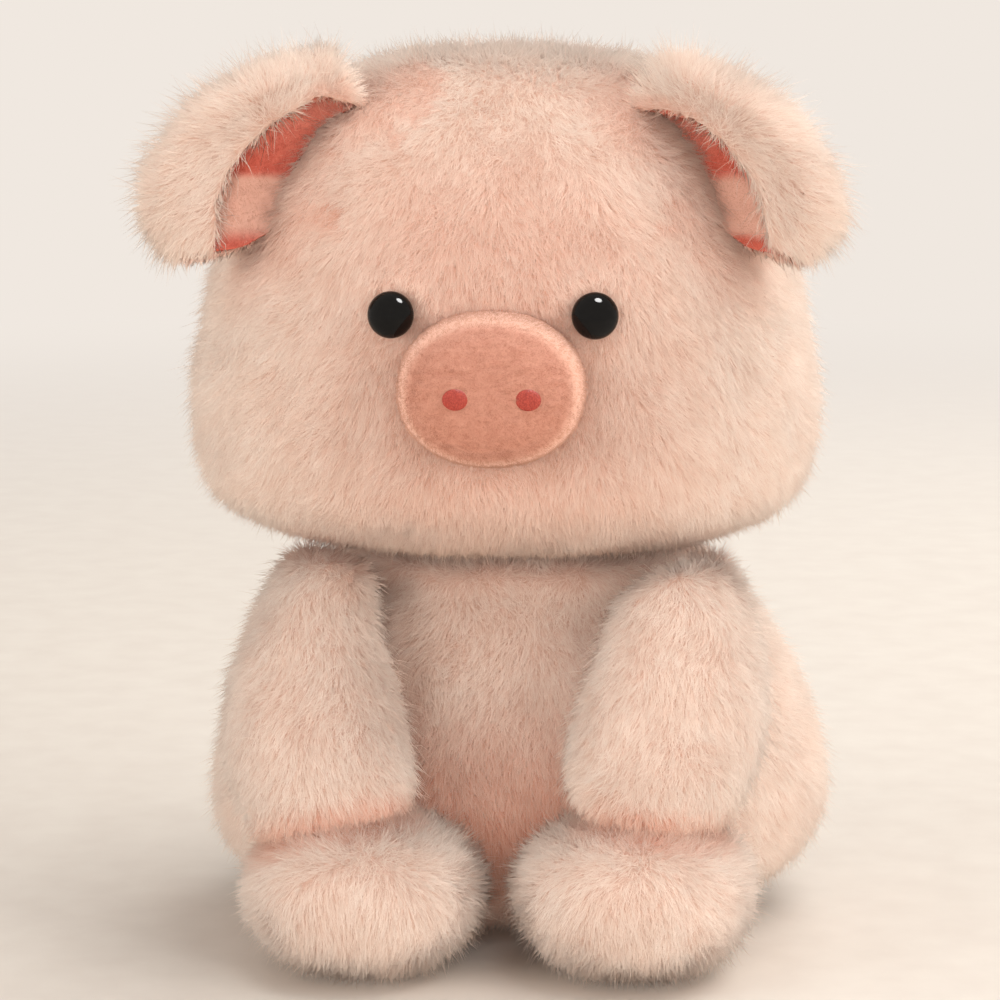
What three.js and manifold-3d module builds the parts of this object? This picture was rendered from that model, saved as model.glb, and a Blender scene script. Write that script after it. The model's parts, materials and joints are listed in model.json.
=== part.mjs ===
// Plush pig, seated, about 240 mm high. Millimetres, +Z up.
// It faces -Y, its left side is +X, and the origin is on the table under the middle of the pig.
// A fur cover is its woven backing and the pile that lies on it. Loose hair tips are left out.

import * as THREE from "three";
import { mergeVertices } from "three/addons/utils/BufferGeometryUtils.js";
import Module from "manifold-3d";

const wasm = await Module();
wasm.setup();

const V = (x, y, z) => new THREE.Vector3(x, y, z);
const point = ({ x, y, z }) => V(x, y, z);

// Sizes that all pieces share
const clearance = 0.3;
const overrun = 8;
const floorSink = 0.5;
const neckZ = 98;
const fur = { backing: 1.5, pile: 3.5 };
const velour = { backing: 1.1, pile: 0.9 };

// Stuffed forms. Each has a middle line from its start to its end, and bow is how far that bends
// aside. widths and depths are the section's sizes along it.
const head = {
  x: -1.5,
  y: -6,
  neckSink: 2.5,
  height: 144,
  widths: { start: 190, middle: 167, end: 130 },
  depths: { start: 128, middle: 134, end: 108 },
  seamY: 6,
  turn: 15,
};

const body = {
  seatX: 3,
  seatY: 6,
  neckX: 0,
  neckY: 0,
  neckRise: 12,
  widths: { start: 181, middle: 165, end: 98 },
  depths: { start: 126, middle: 116, end: 84 },
  seamY: 8,
  pelletDepth: 24,
};

const arm = {
  shoulder: { x: 48, y: -12, rise: 3 },
  leftPaw: { x: 28.5, y: -75, z: 36 },
  rightPaw: { x: 35.5, y: -73, z: 30 },
  bow: { x: 10, y: -4, z: 4 },
  widths: { start: 26, middle: 47, end: 61 },
  depths: { start: 30, middle: 42, end: 50 },
  hinge: { x: 50, y: -14, drop: 2 },
  forwardAngle: 50,
  raise: 30,
};

const leg = {
  hip: { x: 34, y: -16, z: 19 },
  toe: { x: 34, y: -102, z: 21 },
  bow: { x: 1, y: 0, z: 0 },
  widths: { start: 58, middle: 63, end: 62 },
  depths: { start: 38, middle: 42, end: 42 },
  hinge: { x: 34, y: -40, z: 6 },
  droop: 20,
};

const snout = {
  aside: -0.3,
  aboveNeck: 54,
  reach: 15,
  root: 16,
  sink: 2.4,
  widths: { start: 46, middle: 47.4, end: 45 },
  heights: { start: 38, middle: 39.3, end: 37 },
};

const nostril = {
  apart: 18.2,
  aside: 1,
  drop: 0.6,
  width: 6.4,
  height: 5.4,
  proud: 0.5,
  sunk: 0.9,
};

// A two-part plastic eye: a domed button on a shank, and a disc pushed on it behind the cloth
const eye = {
  apart: 52,
  aboveSnout: 18.7,
  radius: 6,
  dome: 4.6,
  band: 0.8,
  sink: 1.4,
  shankRadius: 1.9,
  shankTail: 3,
  washerRadius: 7.5,
  washerThickness: 1.6,
  washerSeat: 0.6,
};

// Ear: a cloth lobe sewn along the head's upper corner and folded forward on itself.
// Its sizes go with the seam, from the top end to the lower end. The seam lies inward of the head's
// sides, forward of its middle and down from its top.
const ear = {
  seamTop: { inward: 29, forward: 34, down: 10.5 },
  seamLow: { inward: 15.5, forward: 43, down: 56.5 },
  backAngle: 6,
  riseAngles: { top: 38, low: -8 },
  root: 12,
  reaches: { left: 25.5, right: 29.5 },
  foldRadius: 7,
  flap: 10,
  pinch: 4,
  thickness: 6.5,
  edgeThickness: 3,
  liningThickness: 1.6,
  liningInset: 1.5,
  liningGap: 0.5,
  reachShares: [0.3, 0.64, 0.92, 1, 0.9, 0.5],
  foldShares: [0.4, 0.7, 1, 1, 0.95, 0.5],
  flapShares: [0.6, 1, 1, 1, 1.1, 1],
  rimShare: 0.2,
  back: 18,
  forward: 8,
};

// Tail: a small stuffed curl, sewn to the middle of the back panel
const tail = {
  z: 44,
  radius: 4.2,
  root: 6,
  leave: 8,
  curlRadius: 7,
  curlWidth: 9.5,
  turns: 1,
  flex: 12,
  steps: 14,
  sides: 8,
};

// How round the forms are: 2 is an ellipse, and more is boxier
const cornerPowers = { head: 2.3, body: 2.2, limb: 2.1, snout: 2.15 };
const endPowers = { head: 3.4, body: 3.7, limb: 2.6, snout: 3.6 };

// Facets
const fine = { around: 24, rings: 14 };
const limbFacets = { around: 16, rings: 10 };
const smallFacets = { around: 18, rings: 10 };
const nostrilFacets = { around: 12, rings: 6 };
const earFacets = { along: 8, section: 11 };
const roundSides = 16;
const domeSteps = 4;

const furWall = fur.backing + fur.pile;
const velourWall = velour.backing + velour.pile;
const bothSides = [
  { name: "left", side: 1 },
  { name: "right", side: -1 },
];
const sideways = V(1, 0, 0);
const upward = V(0, 0, 1);

const materials = {
  fur: { color: 0xf6d3bd, roughness: 0.95, metalness: 0 },
  velour: { color: 0xe3a285, roughness: 0.85, metalness: 0 },
  lining: { color: 0xd2684f, roughness: 0.85, metalness: 0 },
  stitching: { color: 0xd8533f, roughness: 0.6, metalness: 0 },
  filling: { color: 0xf5f5f0, roughness: 0.95, metalness: 0 },
  pelletBag: { color: 0xd9d2c4, roughness: 0.8, metalness: 0 },
  blackPlastic: { color: 0x0c0b0a, roughness: 0.12, metalness: 0 },
  washer: { color: 0xe8e6df, roughness: 0.4, metalness: 0 },
};

// Solids: three.js geometry goes in, and joined or cut bodies come out
function solid(geometry) {
  const bare = geometry.clone();
  bare.deleteAttribute("uv");
  bare.deleteAttribute("normal");
  const merged = mergeVertices(bare);
  const mesh = new wasm.Mesh({
    numProp: 3,
    vertProperties: new Float32Array(merged.attributes.position.array),
    triVerts: new Uint32Array(merged.index.array),
  });
  return new wasm.Manifold(mesh);
}

function geometryOf(body3d) {
  const mesh = body3d.getMesh();
  const geometry = new THREE.BufferGeometry();
  const spots = new Float32Array(mesh.vertProperties);
  geometry.setAttribute("position", new THREE.BufferAttribute(spots, 3));
  geometry.setIndex(new THREE.BufferAttribute(new Uint32Array(mesh.triVerts), 1));
  return geometry;
}

const less = (first, ...cutters) => cutters.reduce((left, cutter) => left.subtract(cutter), first);

function block(low, high) {
  const size = high.clone().sub(low);
  const geometry = new THREE.BoxGeometry(size.x, size.y, size.z);
  const middle = low.clone().add(high).divideScalar(2);
  return solid(geometry.translate(middle.x, middle.y, middle.z));
}

// Half spaces as far as the head and body go, with an overrun
const far = neckZ + head.height + overrun;
const below = (z) => block(V(-far, -far, z - far), V(far, far, z));
const above = (z) => block(V(-far, -far, z), V(far, far, z + far));
const inFront = (y) => block(V(-far, y - far, -far), V(far, y, far));
const behind = (y) => block(V(-far, y, -far), V(far, y + far, far));

function turned(geometry, angle, axis, point) {
  const radians = THREE.MathUtils.degToRad(angle);
  const turn = new THREE.Matrix4().makeRotationAxis(axis.clone().normalize(), radians);
  return geometry.clone()
    .translate(-point.x, -point.y, -point.z)
    .applyMatrix4(turn)
    .translate(point.x, point.y, point.z);
}

// The neighbour as the moving piece meets it, at each of the angles that the piece turns through
function swept(geometry, angles, axis, point) {
  const copies = angles.map((angle) => solid(turned(geometry, -angle, axis, point)));
  return copies.reduce((all, copy) => all.add(copy));
}

// The value between the start, at share -1, and the end, at share 1, on a smooth curve
function between({ start, middle, end }, share) {
  return middle + ((end - start) / 2) * share + ((start + end) / 2 - middle) * share * share;
}

// A stuffed form: sections along a bowed line from start to end, closed and round at both ends
function stuffed(form, kind, grow, { around, rings }) {
  const geometry = new THREE.SphereGeometry(1, around, rings);
  geometry.deleteAttribute("uv");
  geometry.deleteAttribute("normal");
  geometry.rotateX(Math.PI / 2);
  const corner = cornerPowers[kind];
  const end = endPowers[kind];
  const middle = form.start.clone().add(form.end).divideScalar(2);
  const axis = form.end.clone().sub(form.start).normalize();
  const half = form.start.distanceTo(form.end) / 2 + grow;
  const spots = geometry.attributes.position;
  for (let i = 0; i < spots.count; i += 1) {
    const ray = new THREE.Vector3().fromBufferAttribute(spots, i);
    const across = (Math.abs(ray.x) ** corner + Math.abs(ray.y) ** corner) ** (1 / corner);
    const reach = (across ** end + Math.abs(ray.z) ** end) ** (-1 / end);
    const share = ray.z * reach;
    const along = axis.clone().multiplyScalar(half).addScaledVector(form.bow, -2 * share);
    const tangent = along.normalize();
    const wide = sideways.clone().addScaledVector(tangent, -sideways.dot(tangent)).normalize();
    const deep = tangent.clone().cross(wide);
    const spot = middle.clone()
      .addScaledVector(axis, half * share)
      .addScaledVector(form.bow, 1 - share * share)
      .addScaledVector(wide, ray.x * reach * (between(form.widths, share) / 2 + grow))
      .addScaledVector(deep, ray.y * reach * (between(form.depths, share) / 2 + grow));
    spots.setXYZ(i, spot.x, spot.y, spot.z);
  }
  return mergeVertices(geometry);
}

const headStart = V(head.x, head.y, neckZ - head.neckSink);
const headForm = {
  start: headStart,
  end: headStart.clone().setZ(headStart.z + head.height),
  bow: V(0, 0, 0),
  widths: head.widths,
  depths: head.depths,
};

const bodyForm = {
  start: V(body.seatX, body.seatY, -floorSink),
  end: V(body.neckX, body.neckY, neckZ + body.neckRise),
  bow: V(0, 0, 0),
  widths: body.widths,
  depths: body.depths,
};

// Where the front of the head is, at an x and a z, and which way it faces there
function faceY(x, z) {
  const middle = headForm.start.clone().add(headForm.end).divideScalar(2);
  const share = (z - middle.z) / (head.height / 2);
  const across = (1 - Math.abs(share) ** endPowers.head) ** (1 / endPowers.head);
  const aside = Math.abs(x - middle.x) / (between(head.widths, share) / 2);
  const room = Math.max(across ** cornerPowers.head - aside ** cornerPowers.head, 0);
  return middle.y - (between(head.depths, share) / 2) * room ** (1 / cornerPowers.head);
}

function faceNormal(x, z) {
  const step = clearance;
  const slopeX = (faceY(x + step, z) - faceY(x - step, z)) / (2 * step);
  const slopeZ = (faceY(x, z + step) - faceY(x, z - step)) / (2 * step);
  return V(slopeX, -1, slopeZ).normalize();
}

const pig = new THREE.Group();
function piece(name, material, geometry) {
  const mesh = new THREE.Mesh(geometry, new THREE.MeshStandardMaterial(materials[material]));
  mesh.name = name;
  pig.add(mesh);
  return mesh;
}

// Forms that more than one piece is made of or cut by
const mirrored = (v, side) => V(v.x * side, v.y, v.z);

function armForm({ name, side }) {
  const { x, y, rise } = arm.shoulder;
  return {
    start: mirrored(V(x, y, neckZ + rise), side),
    end: mirrored(point(arm[`${name}Paw`]), side),
    bow: mirrored(point(arm.bow), side),
    widths: arm.widths,
    depths: arm.depths,
  };
}

function legForm({ side }) {
  return {
    start: mirrored(point(leg.hip), side),
    end: mirrored(point(leg.toe), side),
    bow: mirrored(point(leg.bow), side),
    widths: leg.widths,
    depths: leg.depths,
  };
}

const nose = V(head.x + snout.aside, 0, neckZ + snout.aboveNeck);
nose.setY(faceY(nose.x, nose.z));
const snoutForm = {
  start: nose.clone().setY(nose.y + snout.root),
  end: nose.clone().setY(nose.y - snout.reach),
  bow: V(0, 0, 0),
  widths: snout.widths,
  depths: snout.heights,
};

const headOuter = stuffed(headForm, "head", 0, fine);
const headGrown = stuffed(headForm, "head", clearance, fine);
const headTurns = [-head.turn, 0, head.turn];
const bodyOuter = stuffed(bodyForm, "body", 0, fine);
const bodyGrown = stuffed(bodyForm, "body", clearance, fine);

// Eyes: button, shank and washer, each with its back on the head's cloth
function lathe(profile) {
  const points = profile.map(([radius, height]) => new THREE.Vector2(radius, height));
  return new THREE.LatheGeometry(points, roundSides);
}

function eyeProfile(grow) {
  const shankEnd = furWall + eye.washerSeat + eye.washerThickness + eye.shankTail;
  const profile = [
    [0, -shankEnd - grow],
    [eye.shankRadius + grow, -shankEnd - grow],
    [eye.shankRadius + grow, -eye.sink - grow],
    [eye.radius + grow, -eye.sink - grow],
    [eye.radius + grow, -eye.sink + eye.band],
  ];
  for (let i = 1; i < domeSteps; i += 1) {
    const angle = (Math.PI / 2) * (i / domeSteps);
    const high = -eye.sink + eye.band + (eye.dome - eye.band + grow) * Math.sin(angle);
    profile.push([(eye.radius + grow) * Math.cos(angle), high]);
  }
  profile.push([0, -eye.sink + eye.dome + grow]);
  return profile;
}

function washerProfile(grow) {
  const top = -furWall - eye.washerSeat + grow;
  const low = -furWall - eye.washerSeat - eye.washerThickness - grow;
  const bore = eye.shankRadius + clearance;
  return [
    [bore, low],
    [eye.washerRadius + grow, low],
    [eye.washerRadius + grow, top],
    [bore, top],
    [bore, low],
  ];
}

function onFace(geometry, side) {
  const x = head.x + (side * eye.apart) / 2;
  const z = nose.z + eye.aboveSnout;
  const turn = new THREE.Quaternion().setFromUnitVectors(V(0, 1, 0), faceNormal(x, z));
  return geometry.applyQuaternion(turn).translate(x, faceY(x, z), z);
}

function eyes() {
  for (const { name, side } of bothSides) {
    piece(`${name}_eye`, "blackPlastic", onFace(lathe(eyeProfile(0)), side));
    piece(`${name}_eye_washer`, "washer", onFace(lathe(washerProfile(0)), side));
  }
}

function eyeRoom(side) {
  return solid(onFace(lathe(eyeProfile(clearance)), side));
}

// The room that a washer takes behind the cloth, up to a height
function washerRoom(side, high) {
  const low = -furWall - eye.washerSeat - eye.washerThickness - clearance;
  const profile = [
    [0, low],
    [eye.washerRadius + clearance, low],
    [eye.washerRadius + clearance, high],
    [0, high],
  ];
  return solid(onFace(lathe(profile), side)).add(eyeRoom(side));
}

// Snout: a velour cover over filling, sewn through the pile to the head's backing
function snoutPieces() {
  const seat = solid(stuffed(headForm, "head", -snout.sink, fine));
  const outer = solid(stuffed(snoutForm, "snout", 0, smallFacets));
  const inner = solid(stuffed(snoutForm, "snout", -velourWall, smallFacets));
  const filling = solid(stuffed(snoutForm, "snout", -velourWall - clearance, smallFacets));
  const holes = bothSides.map(({ side }) => solid(nostrilGeometry(side, clearance)));
  piece("snout_cover", "velour", geometryOf(less(outer, inner, seat, ...holes)));
  piece("snout_filling", "filling", geometryOf(less(filling, seat)));
}

function snoutRoom() {
  const outer = solid(stuffed(snoutForm, "snout", clearance, smallFacets));
  return outer.subtract(solid(stuffed(headForm, "head", -snout.sink - clearance, fine)));
}

// The front of the snout at a distance aside and up from its middle
function snoutFrontY(aside, up) {
  const corner = cornerPowers.snout;
  const end = endPowers.snout;
  const wide = Math.abs(aside) / (snout.widths.end / 2);
  const high = Math.abs(up) / (snout.heights.end / 2);
  const across = (wide ** corner + high ** corner) ** (1 / corner);
  const half = (snout.reach + snout.root) / 2;
  return snoutForm.end.y + half * (1 - (1 - across ** end) ** (1 / end));
}

function nostrilGeometry(side, grow) {
  const aside = nostril.aside + (side * nostril.apart) / 2;
  const front = snoutFrontY(aside, -nostril.drop);
  const middle = V(nose.x + aside, front, nose.z - nostril.drop);
  const thickness = nostril.proud + nostril.sunk + 2 * grow;
  const radius = nostril.width / 2 + grow;
  const pad = new THREE.SphereGeometry(radius, nostrilFacets.around, nostrilFacets.rings);
  pad.scale(1, thickness / 2 / radius, (nostril.height / 2 + grow) / radius);
  return pad.translate(middle.x, middle.y + (nostril.sunk - nostril.proud) / 2, middle.z);
}

function nostrils() {
  for (const { name, side } of bothSides) {
    piece(`${name}_nostril`, "stitching", geometryOf(solid(nostrilGeometry(side, 0))));
  }
}

// Ears: a fur lobe and its lining, both wrapped on the same fold
function shareAlong(shares, t) {
  const place = t * (shares.length - 1);
  const i = Math.min(Math.floor(place), shares.length - 2);
  return THREE.MathUtils.lerp(shares[i], shares[i + 1], place - i);
}

// A point of the fold at t along the seam and v across it, off is outward from the fold's inside
function foldPoint(fullReach, t, v, off) {
  const reach = fullReach * shareAlong(ear.reachShares, t);
  const radius = ear.foldRadius * shareAlong(ear.foldShares, t);
  const flap = ear.flap * shareAlong(ear.flapShares, t);
  const back = ear.root + reach - radius;
  const bend = Math.PI * radius;
  const s = v * (back + bend + flap);
  if (s <= back) {
    return [s - ear.root, -off];
  }
  const swing = radius + off;
  if (s <= back + bend) {
    const angle = (s - back) / radius;
    return [reach - radius + swing * Math.sin(angle), radius - swing * Math.cos(angle)];
  }
  const along = s - back - bend;
  const lean = ear.pinch * shareAlong(ear.foldShares, t) * (along / flap);
  return [reach - radius - along, radius + swing - lean];
}

function earSeam(side) {
  const end = ({ inward, forward, down }, width) =>
    V(head.x + side * (width / 2 - inward), head.y - forward, headForm.end.z - down);
  const top = end(ear.seamTop, head.widths.end);
  const low = end(ear.seamLow, head.widths.middle);
  return { top, seam: low.sub(top) };
}

// The same point on the pig. The fold's sections fan out from the top to the low end.
function earPoint({ name, side }, t, v, off) {
  const { top, seam } = earSeam(side);
  const { top: riseTop, low: riseLow } = ear.riseAngles;
  const rise = THREE.MathUtils.degToRad(THREE.MathUtils.lerp(riseTop, riseLow, t));
  const back = THREE.MathUtils.degToRad(ear.backAngle);
  const outward = V(side * Math.cos(back), Math.sin(back), Math.tan(rise)).normalize();
  const forward = seam.clone().cross(outward).multiplyScalar(side).normalize();
  const [out, front] = foldPoint(ear.reaches[name], t, v, off);
  return top.addScaledVector(seam, t).addScaledVector(outward, out).addScaledVector(forward, front);
}

// A sheet of the ear between two distances from the fold's inside. The away face thins to the rim.
// An inset sheet ends part of the way along the outer sheet's facets.
function earSheet(each, near, away, inset) {
  const { along, section } = earFacets;
  const geometry = new THREE.BoxGeometry(1, 1, 1, along, section, 1);
  const spots = geometry.attributes.position;
  const tInset = inset / earSeam(each.side).seam.length();
  const vInset = inset / (ear.root + ear.reaches[each.name] + ear.foldRadius + ear.flap);
  for (let i = 0; i < spots.count; i += 1) {
    const t = THREE.MathUtils.clamp(spots.getX(i) + 0.5, tInset, 1 - tInset);
    const v = Math.min(spots.getY(i) + 0.5, 1 - vInset);
    const rim = Math.min(1, Math.min(t, 1 - t, 1 - v) / ear.rimShare);
    const edge = THREE.MathUtils.lerp(ear.edgeThickness / ear.thickness, 1, Math.sqrt(rim));
    const off = spots.getZ(i) < 0 ? near : near + (away - near) * edge;
    const station = Math.min(Math.floor(t * along), along - 1);
    const row = Math.min(Math.floor(v * section), section - 1);
    const corner = (i, j) => earPoint(each, (station + i) / along, (row + j) / section, off);
    const low = corner(0, 0).lerp(corner(1, 0), t * along - station);
    const high = corner(0, 1).lerp(corner(1, 1), t * along - station);
    const spot = low.lerp(high, v * section - row);
    spots.setXYZ(i, spot.x, spot.y, spot.z);
  }
  return each.side * (away - near) < 0 ? geometry : flipped(geometry);
}

// The same geometry with its faces turned over
function flipped(geometry) {
  const turnedOver = geometry.clone();
  const index = turnedOver.index.array;
  for (let i = 0; i < index.length; i += 3) {
    [index[i], index[i + 1]] = [index[i + 1], index[i]];
  }
  return turnedOver;
}

function ears() {
  for (const each of bothSides) {
    const { top, seam } = earSeam(each.side);
    const turns = [-ear.back, -ear.back / 2, 0, ear.forward].map((angle) => angle * each.side);
    const headRoom = swept(headGrown, turns, seam, top);
    const outer = solid(earSheet(each, 0, ear.thickness, 0));
    const liningBack = -ear.liningGap - ear.liningThickness;
    const lining = solid(earSheet(each, -ear.liningGap, liningBack, ear.liningInset));
    piece(`${each.name}_ear_outer`, "fur", geometryOf(outer.subtract(headRoom)));
    piece(`${each.name}_ear_lining`, "lining", geometryOf(lining.subtract(headRoom)));
  }
}

// Head: two fur panels over one filling, open at the neck
function headPieces() {
  const inner = solid(stuffed(headForm, "head", -furWall, fine));
  const cover = less(solid(headOuter), inner, below(neckZ + clearance / 2));
  const rooms = bothSides.map(({ side }) => washerRoom(side, clearance - furWall - eye.washerSeat));
  const dents = bothSides.map(({ side }) => washerRoom(side, 0));
  const front = less(cover, behind(head.seamY - clearance / 2), snoutRoom(), ...rooms);
  const back = less(cover, inFront(head.seamY + clearance / 2));
  const core = solid(stuffed(headForm, "head", -furWall - clearance, fine));
  const filling = less(core, below(neckZ + clearance / 2), ...dents);
  piece("head_front_panel", "fur", geometryOf(front));
  piece("head_back_panel", "fur", geometryOf(back));
  piece("head_filling", "filling", geometryOf(filling));
}

// Body: two fur panels, filling, and a bag of pellets in the seat
function bodyPieces() {
  const inner = solid(stuffed(bodyForm, "body", -furWall, fine));
  const cover = less(solid(bodyOuter), inner, above(neckZ - clearance / 2), below(0));
  const core = solid(stuffed(bodyForm, "body", -furWall - clearance, fine));
  const bagTop = furWall + body.pelletDepth;
  const filling = less(core, above(neckZ - clearance / 2), below(bagTop + clearance));
  piece("body_front_panel", "fur", geometryOf(less(cover, behind(body.seamY - clearance / 2))));
  piece("body_back_panel", "fur", geometryOf(less(cover, inFront(body.seamY + clearance / 2))));
  piece("body_filling", "filling", geometryOf(filling));
  piece("pellet_bag", "pelletBag", geometryOf(core.subtract(above(bagTop))));
}

// Limbs: each a fur cover over its filling, cut where the larger forms are. The cover is open where
// it is sewn to the body, and closed towards the others. others(grow) are the rooms that they take.
function limb(name, form, bodyRoom, others) {
  const outer = solid(stuffed(form, "limb", 0, limbFacets));
  const inner = less(solid(stuffed(form, "limb", -furWall, limbFacets)), ...others(furWall));
  const core = solid(stuffed(form, "limb", -furWall - clearance, limbFacets));
  const cover = less(outer, inner, bodyRoom, ...others(0));
  const filling = less(core, bodyRoom, ...others(furWall + clearance));
  piece(`${name}_cover`, "fur", geometryOf(cover));
  piece(`${name}_filling`, "filling", geometryOf(filling));
}

const stepsTo = (limit) => [0, limit / 4, limit / 2, (3 * limit) / 4, limit];

function armAxis(side) {
  const angle = THREE.MathUtils.degToRad(arm.forwardAngle);
  return V(-Math.sin(angle), -side * Math.cos(angle), 0);
}

function arms() {
  for (const each of bothSides) {
    const { x, y, drop } = arm.hinge;
    const hinge = mirrored(V(x, y, neckZ - drop), each.side);
    const room = (geometry) => swept(geometry, stepsTo(arm.raise), armAxis(each.side), hinge);
    const others = (grow) => {
      const wideHead = stuffed(headForm, "head", clearance + grow, fine);
      const heads = headTurns.map((angle) => room(turned(wideHead, angle, upward, headStart)));
      const wideLeg = stuffed(legForm(each), "limb", clearance + grow, limbFacets);
      return [...heads, room(wideLeg), above(neckZ - clearance - grow)];
    };
    limb(`${each.name}_arm`, armForm(each), room(bodyGrown), others);
  }
}

function legs() {
  for (const each of bothSides) {
    const hinge = mirrored(point(leg.hinge), each.side);
    const bodyRoom = swept(bodyGrown, stepsTo(leg.droop), sideways, hinge);
    limb(`${each.name}_leg`, legForm(each), bodyRoom, (grow) => [below(grow)]);
  }
}

// Where the back of the body is at a height, on its middle line
function backY(z) {
  const { start, end } = bodyForm;
  const share = (2 * (z - start.z)) / start.distanceTo(end) - 1;
  const across = (1 - Math.abs(share) ** endPowers.body) ** (1 / endPowers.body);
  const middleY = THREE.MathUtils.lerp(start.y, end.y, (share + 1) / 2);
  return middleY + (between(body.depths, share) / 2) * across;
}

// The tail leaves the back, climbs once round and ends beside where it began
function tailPiece() {
  const y = backY(tail.z);
  const points = [V(0, y - tail.root, tail.z), V(0, y + tail.leave / 2, tail.z)];
  for (let i = 0; i <= tail.steps / 2; i += 1) {
    const share = i / (tail.steps / 2);
    const angle = 2 * Math.PI * tail.turns * share;
    const outY = y + tail.leave + tail.curlRadius * Math.sin(angle);
    const upZ = tail.z + tail.curlRadius * (1 - Math.cos(angle));
    points.push(V(tail.curlWidth * share, outY, upZ));
  }
  const path = new THREE.CatmullRomCurve3(points);
  const section = new THREE.Shape();
  for (let i = 0; i < tail.sides; i += 1) {
    const angle = (2 * Math.PI * i) / tail.sides;
    const [x, up] = [tail.radius * Math.cos(angle), tail.radius * Math.sin(angle)];
    if (i === 0) {
      section.moveTo(x, up);
    } else {
      section.lineTo(x, up);
    }
  }
  section.closePath();
  const sweep = { steps: tail.steps, extrudePath: path, bevelEnabled: false };
  const tube = new THREE.ExtrudeGeometry(section, sweep);
  const turns = [-tail.flex, 0, tail.flex];
  const room = swept(bodyGrown, turns, sideways, V(0, y, tail.z));
  piece("tail", "fur", geometryOf(solid(tube).subtract(room)));
}

headPieces();
snoutPieces();
nostrils();
eyes();
ears();
bodyPieces();
arms();
legs();
tailPiece();

// The origin is on the table, under the middle of the whole pig
const footprint = new THREE.Box3().setFromObject(pig).getCenter(V(0, 0, 0));
pig.position.set(-footprint.x, -footprint.y, 0);
pig.updateMatrixWorld(true);

export default pig;
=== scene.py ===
# Plush pig, seated: its looks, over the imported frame. Metres, +Z up, it faces -Y.

import json
import math
from types import SimpleNamespace as Values

import bmesh
import bpy
import numpy as np
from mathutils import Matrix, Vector
from mathutils.bvhtree import BVHTree
from mathutils.kdtree import KDTree

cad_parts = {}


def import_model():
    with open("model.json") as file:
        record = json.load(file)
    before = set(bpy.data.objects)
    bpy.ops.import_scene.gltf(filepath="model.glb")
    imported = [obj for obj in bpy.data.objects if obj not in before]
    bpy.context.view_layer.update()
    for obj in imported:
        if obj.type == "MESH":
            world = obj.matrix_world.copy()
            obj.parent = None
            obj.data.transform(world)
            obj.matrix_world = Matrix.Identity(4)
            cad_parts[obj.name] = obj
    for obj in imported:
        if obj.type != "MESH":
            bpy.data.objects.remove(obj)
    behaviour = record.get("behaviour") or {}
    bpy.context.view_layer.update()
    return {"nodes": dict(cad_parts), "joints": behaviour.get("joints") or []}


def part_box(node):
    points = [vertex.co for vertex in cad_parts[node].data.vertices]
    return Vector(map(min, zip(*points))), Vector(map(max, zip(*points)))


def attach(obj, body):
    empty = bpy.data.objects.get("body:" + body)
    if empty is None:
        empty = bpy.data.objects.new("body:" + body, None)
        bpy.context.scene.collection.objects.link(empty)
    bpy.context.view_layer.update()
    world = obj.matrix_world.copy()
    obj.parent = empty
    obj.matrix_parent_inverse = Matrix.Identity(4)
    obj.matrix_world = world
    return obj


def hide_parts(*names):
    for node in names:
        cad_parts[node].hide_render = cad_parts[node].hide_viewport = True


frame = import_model()
nodes = frame["nodes"]

MM = 0.001
SIDES = ("left", "right")
UP = np.array([0.0, 0.0, 1.0])

# The camera, as the photograph was taken
CAMERA = Values(
    azimuth=3, elevation=9, distance=900 * MM, aim=(0, -10.2 * MM, 115.5 * MM),
    lens=120, sensor=36, clip=(0.05, 20),
)

# The covers: how deep the cloth lies under the pile's surface, and how uneven the filling makes it
PILE_DEPTHS = {"head": 4.6 * MM, "body": 3.4 * MM, "arm": 2.4 * MM, "leg": 1.5 * MM}
STUFFING = Values(depth=2.4 * MM, level=4, rounds=2, seed=50)
LUMP = 0.5 * MM
LUMP_LENGTH = 26 * MM

# The long pile. Length, spread and width are of one strand, and a clump of strands is a lock.
UNDERCOAT = Values(
    per_mm2=4.6, length=5.4 * MM, spread=1.1 * MM, width=0.26 * MM,
    lift=0.46, jitter=0.22, bend=0.3, clump=12, pull=0.4,
)
GUARD_HAIRS = Values(
    per_mm2=0.75, length=7.4 * MM, spread=1.4 * MM, width=0.14 * MM,
    lift=0.56, jitter=0.32, bend=0.3, clump=4, pull=0.25,
)
# The short pile of the snout and of the ears' lining
VELOUR_PILE = Values(
    per_mm2=5, length=0.85 * MM, spread=0.2 * MM, width=0.17 * MM,
    lift=0.55, jitter=0.5, bend=0.2, clump=8, pull=0.35,
)
# The long pile's coats: each one's name, kind, and rings of points in a strand
COATS = (("down", UNDERCOAT, 1), ("fur", GUARD_HAIRS, 2))

# How far the pile's lie wanders from the way that it is combed, and over what length
WANDER = Values(share=0.8, length=20 * MM, seeds=(5, 6, 7))
# How strands differ, how much of a strand's tone is its lock's, and how it is lit from above
STRAY = Values(width=(0.7, 1.2), pull=(0.5, 1.4), lock_tone=0.6, skyward=0.12)

# How high over the ground the lowest strands lie
GROUND = 0.25 * MM
# Arms are rounded where another solid is nearer than CUT, and down to SHOULDER below their tops
CUT = 1.2 * MM
SHOULDER = 10 * MM
BULGE = 0.1
# How steep a normal is on an arm's top, and on a flat cut
STEEP = Values(top=0.6, cut=0.999)
# Between these heights the arms are drawn up, and in from their outer sides
SHRUG = Values(heights=(62 * MM, 96 * MM), left=6 * MM, right=9 * MM, upward=10 * MM)
# Between these heights the chin's cloth is drawn in, and its pile is shorter, down to the least
CHIN = Values(heights=(103 * MM, 122 * MM), tuck=2.2 * MM, least=0.6)
# How the cloth rises over the washers behind it
WASHER_ROOM = Values(rise=1.7 * MM, reach=(8 * MM, 14 * MM))
# How far strands stay off a neighbour's cloth, and one cloth off another
SKIN_CLEARANCE = 0.4 * MM
SKIN_GAP = 1.6 * MM
MOST_TRIANGLES = 195000

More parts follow.
